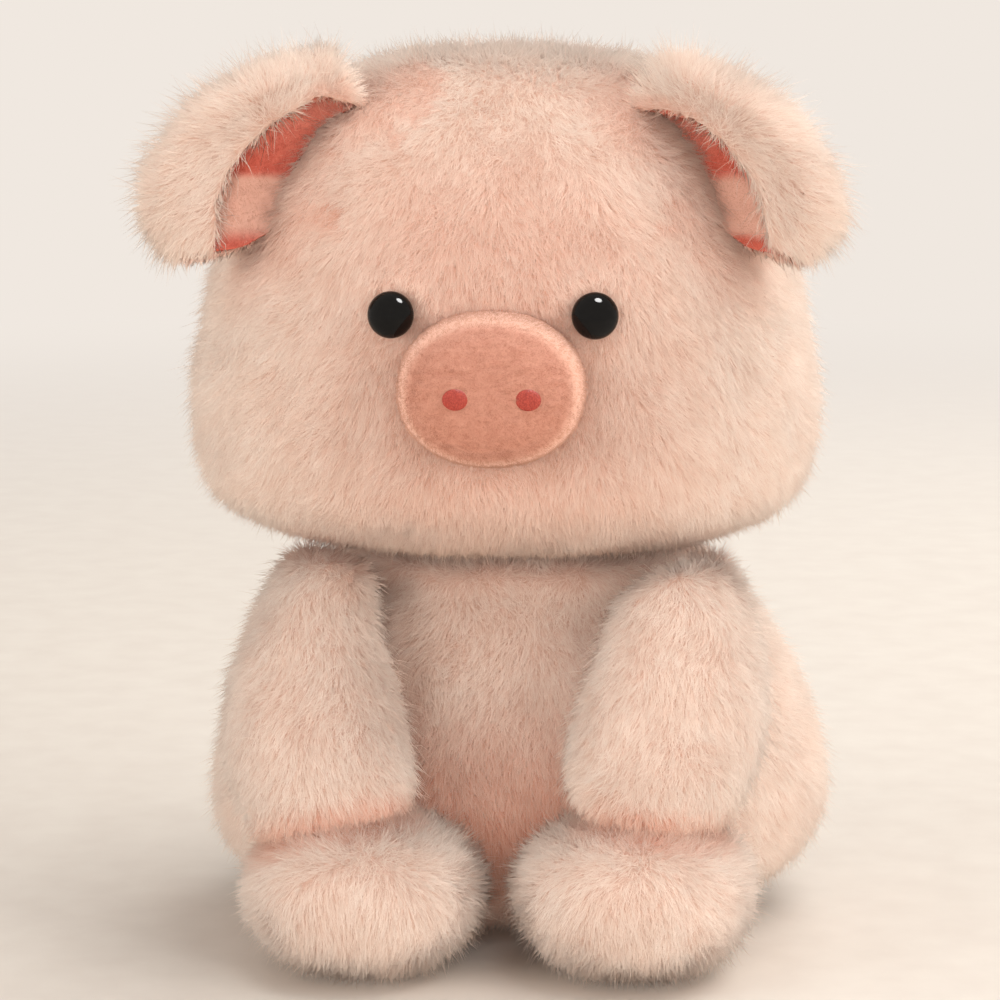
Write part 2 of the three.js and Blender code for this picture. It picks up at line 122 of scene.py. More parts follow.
# How far off the pile is trimmed, and how short it is next to each
EYE_TRIM = Values(reach=6 * MM, least=0.42)
SNOUT_TRIM = Values(reach=10 * MM, least=0.5)
EAR_TRIM = Values(reach=4 * MM, least=0.8)
# How far neighbours are looked for, and how near one the pile gets painted shade, a warmer colour,
# in the crease
NEAR = 16 * MM
CREASE = (3 * MM, 13 * MM)
# How much painted shade, a warmer and deeper colour, the pile gets in each place: in creases, on the
# forehead and by the ears.
PAINTED_SHADE = {"crease": {"head": 0.4, "body": 0.22}, "limbs": 0.8, "forehead": 0.45, "ears": 0.45}
# On the belly it is warmest low down: partly the belly's own pinker colour, partly painted shade.
BELLY = Values(least=0.12, low=0.8, heights=(30 * MM, 75 * MM), aside=(25 * MM, 60 * MM))
FOREHEAD = Values(heights=(190 * MM, 225 * MM), aside=(10 * MM, 75 * MM))
# How near an ear's lining the head's pile gets painted shade, a warmer colour
BY_EARS = (3 * MM, 22 * MM)

# The seeds of each pile's random draws
SEEDS = {
    "head": 11, "body": 12, "left_arm": 21, "right_arm": 22, "left_leg": 23, "right_leg": 24,
    "snout": 31, "left_ear": 71, "right_ear": 72, "left_lining": 81, "right_lining": 82, "tail": 91,
}


# Small vector tools, for arrays of points
def unit(vectors):
    return vectors / np.maximum(np.linalg.norm(vectors, axis=-1, keepdims=True), 1e-12)


def smooth_step(low, high, values):
    share = np.clip((values - low) / (high - low), 0, 1)
    return share * share * (3 - 2 * share)


def fading(low, high, values):
    return 1 - smooth_step(low, high, values)


def at_least(least, share):
    return least + (1 - least) * share


def draws(name):
    return np.random.default_rng(SEEDS[name])


def corners_of(name):
    return [np.array(corner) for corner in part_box(name)]


def middle_of(*names):
    lows, highs = zip(*(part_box(name) for name in names))
    return (np.min(lows, axis=0) + np.max(highs, axis=0)) / 2


def srgb(red, green, blue):
    """A colour written as 0 to 255, in the linear values that shaders take."""
    values = [v / 255 for v in (red, green, blue)]
    linear = [v / 12.92 if v <= 0.04045 else ((v + 0.055) / 1.055) ** 2.4 for v in values]
    return (*linear, 1.0)


# Surfaces are (points, triangles) pairs
def surface_of(*names):
    """The CAD nodes' triangles, joined."""
    all_points, all_faces, count = [], [], 0
    for name in names:
        mesh = nodes[name].data
        mesh.calc_loop_triangles()
        points = np.empty(len(mesh.vertices) * 3, np.float32)
        mesh.vertices.foreach_get("co", points)
        faces = np.empty(len(mesh.loop_triangles) * 3, np.int32)
        mesh.loop_triangles.foreach_get("vertices", faces)
        all_points.append(points.reshape(-1, 3).astype(float))
        all_faces.append(faces.reshape(-1, 3) + count)
        count += len(mesh.vertices)
    return np.concatenate(all_points), np.concatenate(all_faces)


def normals_of(points, faces):
    a, b, c = (points[faces[:, k]] for k in range(3))
    face_normals = np.cross(b - a, c - a)
    sums = np.zeros_like(points)
    for corner in range(3):
        for k in range(3):
            weights = face_normals[:, k]
            sums[:, k] += np.bincount(faces[:, corner], weights=weights, minlength=len(points))
    return unit(sums)


def raised(points, faces, heights):
    """The points, each moved out along its normal."""
    return points + normals_of(points, faces) * heights[:, None]


class Skin:
    """A closed surface that can say how far points are from it."""

    def __init__(self, points, faces):
        self.points = points
        self.faces = faces
        self.tree = BVHTree.FromPolygons(points.tolist(), faces.tolist())
        self.normals = normals_of(points, faces)
        self.leans = unit(sum(self.normals[faces[:, k]] for k in range(3)))

    def gaps(self, points, most):
        """Distance to each point, up to most, and below zero for a point inside."""
        out = np.full(len(points), most)
        spots = np.zeros_like(points)
        hit = np.zeros(len(points), int)
        for i, point in enumerate(points.tolist()):
            spot, _, face, gap = self.tree.find_nearest(point, most)
            if spot is not None:
                out[i], spots[i], hit[i] = gap, spot, face
        found = out < most
        side = ((points - spots) * self.leans[hit]).sum(axis=1)
        return np.where(found & (side < 0), -out, out)

    def pushed_out(self, points, clearance):
        """The points, with those inside or too near moved out to the clearance."""
        moved = points.copy()
        for i in np.flatnonzero(self.gaps(points, NEAR) < clearance):
            spot, _, face, _ = self.tree.find_nearest(points[i].tolist(), NEAR)
            moved[i] = np.array(spot) + self.leans[face] * clearance
        return moved


def relaxed(values, faces, rounds):
    """Draws each value towards the mean of its neighbours' values, over a closed mesh."""
    ways = np.concatenate([faces[:, [0, 1]], faces[:, [1, 2]], faces[:, [2, 0]]])
    count = np.bincount(ways[:, 0], minlength=len(values))[:, None]
    for _ in range(rounds):
        sums = [
            np.bincount(ways[:, 0], weights=values[ways[:, 1], k], minlength=len(values))
            for k in range(values.shape[1])
        ]
        values = (values + np.stack(sums, 1) / count) / 2
    return values


def lumps(points, seed, wavelength=LUMP_LENGTH):
    """A soft uneven height from -1 to 1 at each point."""
    rng = np.random.default_rng(seed)
    waves = unit(rng.normal(size=(6, 3))) * (2 * math.pi / wavelength)
    phases = rng.uniform(0, 2 * math.pi, 6)
    return np.sin(points @ waves.T + phases).mean(axis=1)


def unit_sphere(level):
    ball = bmesh.new()
    bmesh.ops.create_icosphere(ball, subdivisions=level, radius=1)
    ball.verts.index_update()
    points = np.array([v.co[:] for v in ball.verts])
    faces = np.array([[v.index for v in face.verts] for face in ball.faces])
    ball.free()
    return points, faces


def bridged(distances, unknown, faces, rounds=400, softening=20):
    """Fills unknown values in from their neighbours', as a skin stretched over the hole."""
    values = distances.copy()
    values[unknown] = distances[~unknown].mean()
    for _ in range(rounds):
        values = np.where(unknown, relaxed(values[:, None], faces, 1)[:, 0], values)
    share = relaxed(unknown[:, None].astype(float), faces, softening)[:, 0]
    return values * (1 + BULGE * share)


def stuffed_surface(names, level, rounds, depth, seed, ends=None):
    """The stuffed form that CAD nodes make together, smooth, and as deep as its cloth lies. ends
    says how far past a flat cut the cloth lies: {"low": rise, "high": rise}."""
    rays, faces = unit_sphere(level)
    solid_points, solid_faces = surface_of(*names)
    solid = BVHTree.FromPolygons(solid_points.tolist(), solid_faces.tolist())
    middle = middle_of(*names)
    far = np.linalg.norm(solid_points - middle, axis=1).max() * 2
    points = np.empty_like(rays)
    facing = np.zeros_like(rays)
    for i, ray in enumerate(rays):
        points[i], facing[i], _, _ = solid.ray_cast(Vector(middle + ray * far), Vector(-ray))
    points = rounded_off(names, rays, points, facing, faces)
    points = relaxed(points, faces, rounds)
    height = LUMP * lumps(points, seed) - depth
    for end, rise in (ends or {}).items():
        upward = 1 if end == "high" else -1
        flat = (facing[:, 2] * upward > STEEP.cut).astype(float)
        flat = relaxed(flat[:, None], faces, rounds // 2)[:, 0]
        height = height * (1 - flat) + rise * flat
    return raised(points, faces, height), faces


def rounded_off(names, rays, points, facing, faces):
    """Where other nodes cut an arm's ends, its stuffed form is round instead."""
    if names[0] not in CUT_BY:
        return points
    cut = Skin(*surface_of(*CUT_BY[names[0]])).gaps(points, 2 * CUT) < CUT
    cut |= (facing[:, 2] > STEEP.top) & (points[:, 2] > points[:, 2].max() - SHOULDER)
    middle = middle_of(*names)
    return middle + rays * bridged(np.linalg.norm(points - middle, axis=1), cut, faces)[:, None]


def remeshed_surface(name, voxel, rounds):
    """A CAD solid with even faces and its edges rounded."""
    points, faces = surface_of(name)
    mesh = bpy.data.meshes.new("remeshed")
    mesh.from_pydata(points.tolist(), [], faces.tolist())
    body = linked("remeshed", mesh)
    for kind in ("WELD", "REMESH", "TRIANGULATE"):
        body.modifiers.new(kind.title(), kind)
    body.modifiers["Weld"].merge_threshold = voxel / 100
    body.modifiers["Remesh"].mode = "VOXEL"
    body.modifiers["Remesh"].voxel_size = voxel
    bpy.context.view_layer.update()
    even = body.evaluated_get(bpy.context.evaluated_depsgraph_get()).to_mesh()
    out = np.empty(len(even.vertices) * 3)
    even.vertices.foreach_get("co", out)
    even_faces = np.array([face.vertices[:] for face in even.polygons])
    bpy.data.objects.remove(body)
    bpy.data.meshes.remove(mesh)
    return relaxed(out.reshape(-1, 3), even_faces, rounds), even_faces


# Pieces
def linked(name, data):
    made = bpy.data.objects.new(name, data)
    bpy.context.collection.objects.link(made)
    return made


def piece(name, points, faces, body, slot, material, stands_for=(), fill=None):
    mesh = bpy.data.meshes.new(name)
    mesh.from_pydata(points.tolist(), [], [list(face) for face in faces])
    mesh.polygons.foreach_set("use_smooth", [True] * len(mesh.polygons))
    mesh.materials.append(material)
    made = linked(name, mesh)
    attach(made, body)
    if stands_for:
        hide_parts(*stands_for)
    return made


def paint(mesh, name, values):
    """Gives a mesh's points a value that its material reads."""
    layer = mesh.attributes.new(name, "FLOAT", "POINT")
    layer.data.foreach_set("value", values.astype(np.float32))


# Materials. Colours are written as 0 to 255.
WHITE = (255, 255, 255)


class Nodes:
    """Adds and links shader nodes in a material or a world."""

    def __init__(self, owner):
        owner.use_nodes = True
        self.owner = owner
        self.tree = owner.node_tree
        self.tree.nodes.clear()

    def add(self, kind, inputs=(), **settings):
        made = self.tree.nodes.new(f"ShaderNode{kind}")
        for key, value in settings.items():
            setattr(made, key, value)
        for key, value in dict(inputs).items():
            if isinstance(value, bpy.types.NodeSocket):
                self.tree.links.new(value, made.inputs[key])
            else:
                made.inputs[key].default_value = value
        return made

    def attribute(self, name):
        return self.add("Attribute", attribute_name=name).outputs["Fac"]

    def place(self):
        return self.add("NewGeometry").outputs["Position"]

    def noise(self, scale, detail=3.0, roughness=0.5, place=None):
        inputs = {"Scale": scale, "Detail": detail, "Roughness": roughness}
        inputs["Vector"] = self.place() if place is None else place
        return self.add("TexNoise", inputs).outputs["Fac"]

    def math(self, operation, first, second):
        return self.add("Math", {0: first, 1: second}, operation=operation).outputs["Value"]

    def ramp(self, factor, *stops):
        """The colour at a factor, between the (factor, colour) pairs."""
        made = self.add("ValToRGB", {"Fac": factor})
        elements = made.color_ramp.elements
        for element, (place, colour) in zip(elements, (stops[0], stops[-1])):
            element.position, element.color = place, srgb(*colour)
        for place, colour in stops[1:-1]:
            elements.new(place).color = srgb(*colour)
        return made.outputs["Color"]

    def mix(self, factor, first, second, blend="MIX"):
        inputs = {0: factor, 6: first, 7: second}
        return self.add("Mix", inputs, data_type="RGBA", blend_type=blend).outputs[2]

    def tinted(self, colour, *tints):
        for tint in tints:
            colour = self.mix(1.0, colour, tint, "MULTIPLY")
        return colour

    def bump(self, height, distance):
        inputs = {"Height": height, "Distance": distance, "Strength": 1.0}
        return self.add("Bump", inputs).outputs["Normal"]

    def finish(self, colour, **settings):
        """The material, with its colour and what else its shader is told."""
        inputs = {name.replace("_", " "): value for name, value in settings.items()}
        shader = self.add("BsdfPrincipled", {"Base Color": colour, **inputs})
        self.add("OutputMaterial", {"Surface": shader.outputs["BSDF"]})
        return self.owner


def material_nodes(name):
    return Nodes(bpy.data.materials.new(name))


# The pile from root to tip: deeper at the root as painted shade within the pile, whose strands cast
# no shadow
PILE_STOPS = (
    (0.0, (230, 195, 175)),
    (0.3, (238, 212, 195)),
    (0.6, (243, 223, 207)),
    (1.0, (247, 232, 218)),
)
# The warmer, deeper colours that the pile turns to: mostly painted shade, partly its own warm tint
SHADE_AND_TINT_STOPS = ((0.0, (226, 150, 124)), (0.5, (239, 181, 156)), (1.0, (244, 206, 184)))


def pile_material():
    """Strand by strand: deeper pink at the root as painted shade, pale at the tip, and warmer where
    the pile gets painted shade and some own warm tint.
    """
    n = material_nodes("pile")
    along = n.attribute("along")
    pale, warm = n.ramp(along, *PILE_STOPS), n.ramp(along, *SHADE_AND_TINT_STOPS)
    colour = n.mix(n.attribute("blush"), pale, warm)
    tone = n.ramp(n.attribute("tone"), (0.0, (240, 235, 232)), (1.0, WHITE))
    patches = n.ramp(n.noise(90.0), (0.3, (249, 243, 240)), (0.7, WHITE))
    return n.finish(n.tinted(colour, tone, patches), Roughness=0.75, Specular_IOR_Level=0.25)


def short_pile_material(name, low, high, pale):
    """Strand by strand, from low at the root to high at the tip, deeper at the root as painted
    shade; and pale where painted light is given: painted sheen on the snout, painted light on the
    ear lining's bulge.
    """
    n = material_nodes(name)
    colour = n.ramp(n.attribute("along"), (0.0, low), (1.0, high))
    colour = n.mix(n.attribute("blush"), colour, srgb(*pale))
    patches = n.ramp(n.noise(420.0, 4.0, 0.6), (0.35, (241, 234, 230)), (0.65, WHITE))
    tone = n.ramp(n.attribute("tone"), (0.0, (241, 234, 230)), (1.0, WHITE))
    return n.finish(n.tinted(colour, patches, tone), Roughness=0.8, Specular_IOR_Level=0.2)


def backing_material():
    """The cloth that the long pile grows from, with the pile's dense roots on it."""
    n = material_nodes("backing")
    fine = n.noise(1500.0, 4.0, 0.7)
    colour = n.ramp(fine, (0.3, (222, 180, 160)), (0.7, (234, 204, 186)))
    patches = n.ramp(n.noise(160.0), (0.3, (240, 226, 220)), (0.7, WHITE))
    return n.finish(n.tinted(colour, patches), Roughness=0.95, Normal=n.bump(fine, 0.5 * MM))


def velour_material(name, low, high, sheen, pale):
    """Cloth under the short pile: fine mottling, a soft nap, and pale where painted light is given:
    painted sheen on the snout's rim and side, painted light on the lining's bulge.
    """
    n = material_nodes(name)
    height = n.mix(0.5, n.noise(2400.0, 3.0, 0.6), n.noise(420.0, 4.0, 0.6))
    colour = n.ramp(height, (0.36, low), (0.64, high))
    colour = n.mix(n.attribute("blush"), colour, srgb(*pale))
    nap = {"Sheen_Weight": 0.45, "Sheen_Roughness": 0.5, "Sheen_Tint": srgb(*sheen)}
    return n.finish(colour, Roughness=0.9, Normal=n.bump(height, 0.35 * MM), **nap)


def thread_material():
    """Rayon thread in satin stitch: a soft gloss and a little tone from stitch to stitch."""
    n = material_nodes("thread")
    tone = n.noise(3000.0, 2.0)
    colour = n.ramp(tone, (0.35, (150, 46, 34)), (0.65, (184, 70, 52)))
    return n.finish(colour, Roughness=0.45, Normal=n.bump(tone, 0.1 * MM))


def eye_material():
    """Polished black plastic, with faint moulding haze in its gloss."""
    n = material_nodes("eye_plastic")
    haze = n.noise(900.0, 2.0)
    gloss = n.add("MapRange", {"Value": haze, "To Min": 0.05, "To Max": 0.1})
    colour = n.ramp(haze, (0.3, (5, 4, 4)), (0.7, (9, 8, 7)))
    return n.finish(colour, Roughness=gloss.outputs["Result"], Specular_IOR_Level=0.2)


def fibre_material():
    """Loose white polyester fibre."""
    n = material_nodes("fibre")
    stretched = n.add("VectorMath", {0: n.place(), 1: (1.0, 3.0, 1.6)}, operation="MULTIPLY")
    wisps = n.noise(260.0, 6.0, 0.7, stretched.outputs["Vector"])
    colour = n.ramp(wisps, (0.3, (214, 212, 208)), (0.7, (246, 246, 243)))
    return n.finish(colour, Roughness=0.95, Normal=n.bump(wisps, 1.2 * MM))


def cotton_material():
    """Plain woven cotton, for the pellet bag."""
    n = material_nodes("cotton")
    thread = {"Vector": n.place(), "Scale": 420.0, "Distortion": 0.6}
    across = n.add("TexWave", thread, bands_direction="X").outputs["Fac"]
    upward = n.add("TexWave", thread, bands_direction="Z").outputs["Fac"]
    weave = n.mix(0.5, across, upward)
    colour = n.ramp(weave, (0.2, (198, 188, 170)), (0.8, (226, 218, 204)))
    return n.finish(colour, Roughness=0.9, Normal=n.bump(weave, 0.2 * MM))


def washer_material():
    """Moulded natural plastic, slightly uneven in gloss."""
    n = material_nodes("washer_plastic")
    grain = n.noise(700.0)
    colour = n.ramp(grain, (0.3, (224, 221, 212)), (0.7, (238, 236, 230)))
    return n.finish(colour, Roughness=0.4, Normal=n.bump(grain, 0.05 * MM))


PILE = pile_material()
BACKING = backing_material()
# Painted sheen: the paler colour of the snout's rim and side, as velour catching light at a slant
SNOUT_PAINTED_SHEEN = (238, 184, 160)
# Painted light: the paler colour where the ear lining's bulge catches light
LINING_PAINTED_LIGHT = (232, 178, 156)
SNOUT_CLOTH = {"low": (190, 126, 103), "high": (206, 145, 121), "sheen": (255, 226, 208)}
SNOUT_VELOUR = velour_material("snout_velour", pale=SNOUT_PAINTED_SHEEN, **SNOUT_CLOTH)
LINING_CLOTH = {"low": (200, 86, 68), "high": (216, 112, 90), "sheen": (246, 190, 168)}
LINING_VELOUR = velour_material("lining_velour", pale=LINING_PAINTED_LIGHT, **LINING_CLOTH)
THREAD = thread_material()
EYE_PLASTIC = eye_material()
FIBRE = fibre_material()
COTTON = cotton_material()
WASHER = washer_material()
# The short piles are deeper at the root as painted shade, and take the painted light of the cloth
# under them: sheen on the snout, the bulge's light on the lining
SNOUT_PILE = short_pile_material("snout_pile", (195, 134, 110), (215, 159, 136), SNOUT_PAINTED_SHEEN)
LINING_PILE = short_pile_material("lining_pile", (200, 86, 70), (222, 122, 100), LINING_PAINTED_LIGHT)


# Strands: three-sided hairs that end in a point. The long ones bend once.
RING = 3
# How much narrower a strand is at its bend than at its root
BEND_WIDTH = 0.85
# Pile is lit as the soft mass that it is: how much a strand's own roundness turns its shading
ROUNDNESS = 0.3
# Clear space round each strand in the map that its colours are baked to
MAP_MARGIN = 0.1


def strand_loops(rings):
    """(point, across, along) of one strand's face corners, and where each face starts."""
    corners, starts = [], []
    for low in range(rings - 1):
        for k in range(RING):
            starts.append(len(corners))
            here, last = low * RING + k, low * RING + (k + 1) % RING
            above = (low + 1) / rings
            corners += [(here, k, low / rings), (last, k + 1, low / rings)]
            corners += [(last + RING, k + 1, above), (here + RING, k, above)]
    top, below = rings * RING, 1 - 1 / rings
    for k in range(RING):
        starts.append(len(corners))
        here, last = top - RING + k, top - RING + (k + 1) % RING
        corners += [(here, k, below), (last, k + 1, below), (top, k + 0.5, 1)]
    return np.array(corners), np.array(starts)


def strand_points(coat, rings):
    """Each strand's points, ring by ring from the root, and the way that each is lit."""
    root, tip = coat["root"], coat["tip"]
    axis = unit(tip - root)
    side = unit(np.cross(axis, UP) + 1e-5)
    other = np.cross(axis, side)
    points = np.empty((len(root), rings * RING + 1, 3))
    facing = np.empty_like(points)
    radius = coat["width"][:, None] / 2
    for k in range(RING):
        angle = (coat["turn"] + 2 * math.pi * k / RING)[:, None]
        out = side * np.cos(angle) + other * np.sin(angle)
        for ring, (middle, share) in enumerate(((root, 1), (coat["mid"], BEND_WIDTH))[:rings]):
            points[:, ring * RING + k] = middle + out * radius * share
            facing[:, ring * RING + k] = unit(coat["normal"] + out * ROUNDNESS)
    points[:, -1] = tip
    facing[:, -1] = coat["normal"]
    return points, facing


def strand_mesh(name, coat, rings):
    """One mesh of all the coat's strands."""
    points, facing = strand_points(coat, rings)
    count, each = points.shape[:2]
    corners, starts = strand_loops(rings)
    index = np.arange(count)[:, None]
    spots = (index * each + corners[:, 0].astype(int)).ravel()
    mesh = bpy.data.meshes.new(name)
    mesh.vertices.add(count * each)
    mesh.loops.add(len(spots))
    mesh.polygons.add(count * len(starts))
    mesh.vertices.foreach_set("co", points.ravel())
    mesh.loops.foreach_set("vertex_index", spots)
    mesh.polygons.foreach_set("loop_start", (index * len(corners) + starts).ravel())
    mesh.polygons.foreach_set("use_smooth", np.ones(count * len(starts), bool))
    along = np.append(np.repeat(np.arange(rings) / rings, RING), 1)
    paint(mesh, "along", np.tile(along, count))
    for key in ("tone", "blush"):
        paint(mesh, key, np.repeat(coat[key], each))
    columns = math.ceil(math.sqrt(count))
    inner = 1 - 2 * MAP_MARGIN
    u = (index % columns + MAP_MARGIN + inner * corners[:, 1] / RING) / columns
    v = (index // columns + MAP_MARGIN + inner * corners[:, 2]) / columns
    flat_map = mesh.uv_layers.new(name="OFBake")
    flat_map.data.foreach_set("uv", np.stack([u, v], -1).ravel())
    mesh.update(calc_edges=True)
    mesh.normals_split_custom_set_from_vertices(facing.reshape(-1, 3).tolist())
    return mesh


def fur_pieces(name, coat, body, material, rings):
    """The coat as pieces of an even size, cut like orange segments about its middle."""
    around = np.arctan2(*(coat["root"] - coat["root"].mean(axis=0))[:, :2].T)
    order = np.argsort(around)
    most = MOST_TRIANGLES // (RING * (2 * rings - 1))
    parts = math.ceil(len(order) / most)
    for k, share in enumerate(np.array_split(order, parts)):
        title = f"{name}_{k + 1}" if parts > 1 else name
        mesh = strand_mesh(title, only(coat, share), rings)
        mesh.materials.append(material)
        made = linked(title, mesh)
        made.visible_shadow = False
        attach(made, body)


def scatter(rng, skin, per_mm2, fields=()):
    """Roots spread evenly at random over a skin, with its normals and other fields there."""
    a, b, c = (skin.points[skin.faces[:, k]] for k in range(3))
    area = np.linalg.norm(np.cross(b - a, c - a), axis=1) / 2
    count = int(area.sum() / MM**2 * per_mm2)
    corners = skin.faces[rng.choice(len(area), count, p=area / area.sum())]
    shares = rng.dirichlet((1, 1, 1), count)

    def spread(values):
        return sum(values[corners[:, k]] * shares[:, k : k + 1] for k in range(3))

    found = [spread(values[:, None])[:, 0] for values in fields]
    return (spread(skin.points), unit(spread(skin.normals)), *found)


def grown(rng, roots, normals, comb, kind, length_share, blush):
    """Strands from roots, combed one way along the surface, with neighbours drawn into locks."""
    count = len(roots)
    wander = [lumps(roots, seed, WANDER.length) for seed in WANDER.seeds]
    comb = comb + WANDER.share * np.stack(wander, 1)
    comb = comb - normals * (comb * normals).sum(axis=1, keepdims=True)
    lift = kind.lift
    rough = rng.normal(size=(count, 3)) * kind.jitter
    start = unit(normals * lift + comb * (1 - lift) + rough)
    droop = comb * kind.bend - UP * kind.bend / 3
    end = unit(start + droop)
    length = rng.normal(kind.length, kind.spread, count)
    length = (np.maximum(length, kind.length / 3) * length_share)[:, None]
    mid = roots + start * length / 2
    tip = mid + end * length / 2
    leaders = rng.choice(count, max(count // kind.clump, 1), replace=False)
    lookup = KDTree(len(leaders))
    for place, leader in enumerate(leaders):
        lookup.insert(roots[leader], place)
    lookup.balance()
    led_by = leaders[[lookup.find(root)[1] for root in roots.tolist()]]
    pull = kind.pull * rng.uniform(*STRAY.pull, count)[:, None]
    tip = tip + (tip[led_by] - tip) * pull
    mid = mid + (mid[led_by] - mid) * pull / 2
    lock_tone, own_tone = STRAY.lock_tone * rng.random(count)[led_by], rng.random(count)
    tone = np.clip(lock_tone + (1 - STRAY.lock_tone) * own_tone, 0, 1)
    return {
        "root": roots,
        "normal": unit(normals + UP * STRAY.skyward),
        "mid": mid,
        "tip": tip,
        "width": kind.width * rng.uniform(*STRAY.width, count),
        "turn": rng.uniform(0, 2 * math.pi, count),
        "tone": tone,
        "blush": blush,
    }


def only(coat, keep):
    return {key: values[keep] for key, values in coat.items()}


def shortened(coat, chosen, share):
    root = coat["root"][chosen]
    for key in ("mid", "tip"):
        coat[key][chosen] = root + (coat[key][chosen] - root) * share


def kept_clear(coat, skin, gaps=None, reach=12 * MM, tries=3, share=0.6):
    """Shortens the strands that would enter a neighbour, and drops those that still do."""
    low, high = skin.points.min(axis=0), skin.points.max(axis=0)
    near = np.all((coat["tip"] > low - reach) & (coat["tip"] < high + reach), axis=1)
    if gaps is not None:
        near &= gaps < reach
    chosen = np.flatnonzero(near)
    for _ in range(tries):
        chosen = chosen[skin.gaps(coat["tip"][chosen], reach) < SKIN_CLEARANCE]
        shortened(coat, chosen, share)
    keep = np.ones(len(coat["tip"]), bool)
    keep[chosen[skin.gaps(coat["tip"][chosen], reach) < SKIN_CLEARANCE]] = False
    return only(coat, keep)


def laid_on_ground(coat):
    """No strand reaches under the surface that the pig sits on: it lies flat there instead."""
    for key, height in (("mid", GROUND * 2), ("tip", GROUND)):
        coat[key][:, 2] = np.maximum(coat[key][:, 2], height)
    return coat


# The covers' solids, how fine their skins are and how often they are smoothed. Larger forms come
# first, because the smaller ones give way to them, and a foot gives way to the paw on it.
SKINS = {
    "head": (("head_front_panel", "head_back_panel", "head_filling"), 6, 12),
    "body": (("body_front_panel", "body_back_panel", "body_filling", "pellet_bag"), 6, 12),
}
for limb in ("arm", "leg"):
    for side in SIDES:
        SKINS[f"{side}_{limb}"] = ((f"{side}_{limb}_cover", f"{side}_{limb}_filling"), 5, 10)
# How far past its flat cuts each form's cloth lies. The seat and the feet lie on the ground.
ENDS = {"body": {"low": 0, "high": 2.4 * MM}, "left_leg": {"low": 0}, "right_leg": {"low": 0}}
NEIGHBOURS = {
    "head": ("body", "left_arm", "right_arm"),
    "body": ("head", "left_arm", "right_arm", "left_leg", "right_leg"),
}
CUT_BY, GIVES_WAY_TO = {}, {}
for side, other in (SIDES, SIDES[::-1]):
    arm, leg = f"{side}_arm", f"{side}_leg"
    CUT_BY[f"{arm}_cover"] = ("head_front_panel", "head_back_panel", f"{leg}_cover")
    GIVES_WAY_TO |= {arm: "head", leg: arm}
    NEIGHBOURS |= {arm: ("head", "body", leg), leg: ("body", arm, f"{other}_leg")}


def skins():
    made = {}
    for seed, (name, (solids, level, rounds)) in enumerate(SKINS.items()):
        depth = PILE_DEPTHS[name.split("_")[-1]]
        points, faces = stuffed_surface(solids, level, rounds, depth, seed, ENDS.get(name))
        if name.endswith("arm"):
            points = shrugged(points, name.split("_")[0])
        if name == "head":
            points = tucked(points, faces)
        if name in GIVES_WAY_TO:
            points = made[GIVES_WAY_TO[name]].pushed_out(points, SKIN_GAP)
        if name == "head":
            points = held_off_washers(points, faces)
        made[name] = Skin(points, faces)
        stands_for = [solid for solid in solids if solid.endswith(("panel", "cover"))]
        piece(f"{name}_cloth", points, faces, name, "fur", BACKING, stands_for, fill=0.85)
    return made


def shrugged(points, side):
    """An arm's top, drawn up under the chin and in from its outer side, where its seam pulls it."""
    share = smooth_step(*SHRUG.heights, points[:, 2])
    aside = np.abs(points[:, 0])
    outer = (aside - aside.min()) / np.ptp(aside)
    inward = -np.sign(points[:, 0].mean()) * getattr(SHRUG, side) * outer * share
    return points + np.stack([inward, 0 * inward, SHRUG.upward * share], 1)


def tucked(points, faces):
    """The head's cloth is drawn in a little more under the chin, where the neck's seam pulls it."""
    share = fading(*CHIN.heights, points[:, 2])
    return raised(points, faces, -CHIN.tuck * share)


def held_off_washers(points, faces):
    """The cloth lies over the washers behind it."""
    rise = np.zeros(len(points))
    for side in SIDES:
        off = np.linalg.norm(points - middle_of(f"{side}_eye_washer"), axis=1)
        rise += WASHER_ROOM.rise * fading(*WASHER_ROOM.reach, off)
    return raised(points, faces, rise)


def inner_pieces():
    """The fillings and the pellet bag, out of sight inside the covers."""
    limbs = [f"{side}_{limb}" for side in SIDES for limb in ("arm", "leg")]
    inside = {"head": FIBRE, "body": FIBRE, "pellet_bag": COTTON, **dict.fromkeys(limbs, FIBRE)}
    how = (STUFFING.level, STUFFING.rounds, STUFFING.depth)
    for seed, (body, material) in enumerate(inside.items(), STUFFING.seed):
        name, title, slot = f"{body}_filling", f"{body}_stuffing", "filling"
        if body == "pellet_bag":
            name, title, slot, body = body, "pellet_sack", body, "body"
        points, faces = stuffed_surface((name,), *how, seed)
        piece(title, points, faces, body, slot, material, (name,), fill=0.9)
    for side in SIDES:
        for slot in nodes[f"{side}_eye_washer"].material_slots:
            slot.material = WASHER


# Face. An eye's shank, its edge's flat and where it counts as widest are shares of its radius.
EYE = Values(shank=0.35, edge=0.96, widest=0.98, shank_length=4 * MM, bevel=0.3 * MM)
EYE_STEPS = Values(up=20, around=64)


def eye_axis(side):
    """An eye's rim's middle, outward axis, radius, dome's height and rim's height, from its CAD."""
    points = surface_of(f"{side}_eye")[0]
    washer = surface_of(f"{side}_eye_washer")[0]
    axis = unit(points.mean(axis=0) - washer.mean(axis=0))
    base = washer.mean(axis=0)
    height = (points - base) @ axis
    off = np.linalg.norm(points - base - height[:, None] * axis, axis=1)
    radius = off.max()
    rim = height[off > radius * EYE.widest]
    return base + axis * rim.max(), axis, radius, height.max() - rim.max(), np.ptp(rim)


